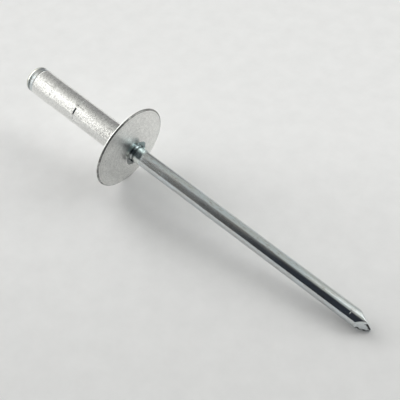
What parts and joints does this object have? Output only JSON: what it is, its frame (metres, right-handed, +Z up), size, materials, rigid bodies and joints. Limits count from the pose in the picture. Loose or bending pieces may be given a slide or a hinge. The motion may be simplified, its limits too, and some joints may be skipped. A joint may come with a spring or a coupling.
{
  "type": "blind rivet",
  "caption": "Large-flange blind rivet as supplied: a dented aluminium sleeve and domed flange threaded on a pointed steel mandrel with a crimp at the flange.",
  "frame": {"origin": "on the surface that the rivet lies on, under the middle of its bounding box", "axes": "+X along the rivet towards the mandrel's point, +Z up; the rivet's own axis lies in the XZ plane and slopes down towards +X by about 7.3 degrees, from the flange rim it rests on to its point"},
  "size_m": [0.047, 0.01, 0.0099],
  "materials": {
    "aluminium_body": "tumbled bright aluminium, satin, with fine handling marks",
    "zinc_plated_steel": "bright drawn wire with a thin bluish zinc plate"
  },
  "bodies": {
    "root": {"rivet_body": "aluminium_body", "mandrel": "zinc_plated_steel"}
  },
  "joints": []
}
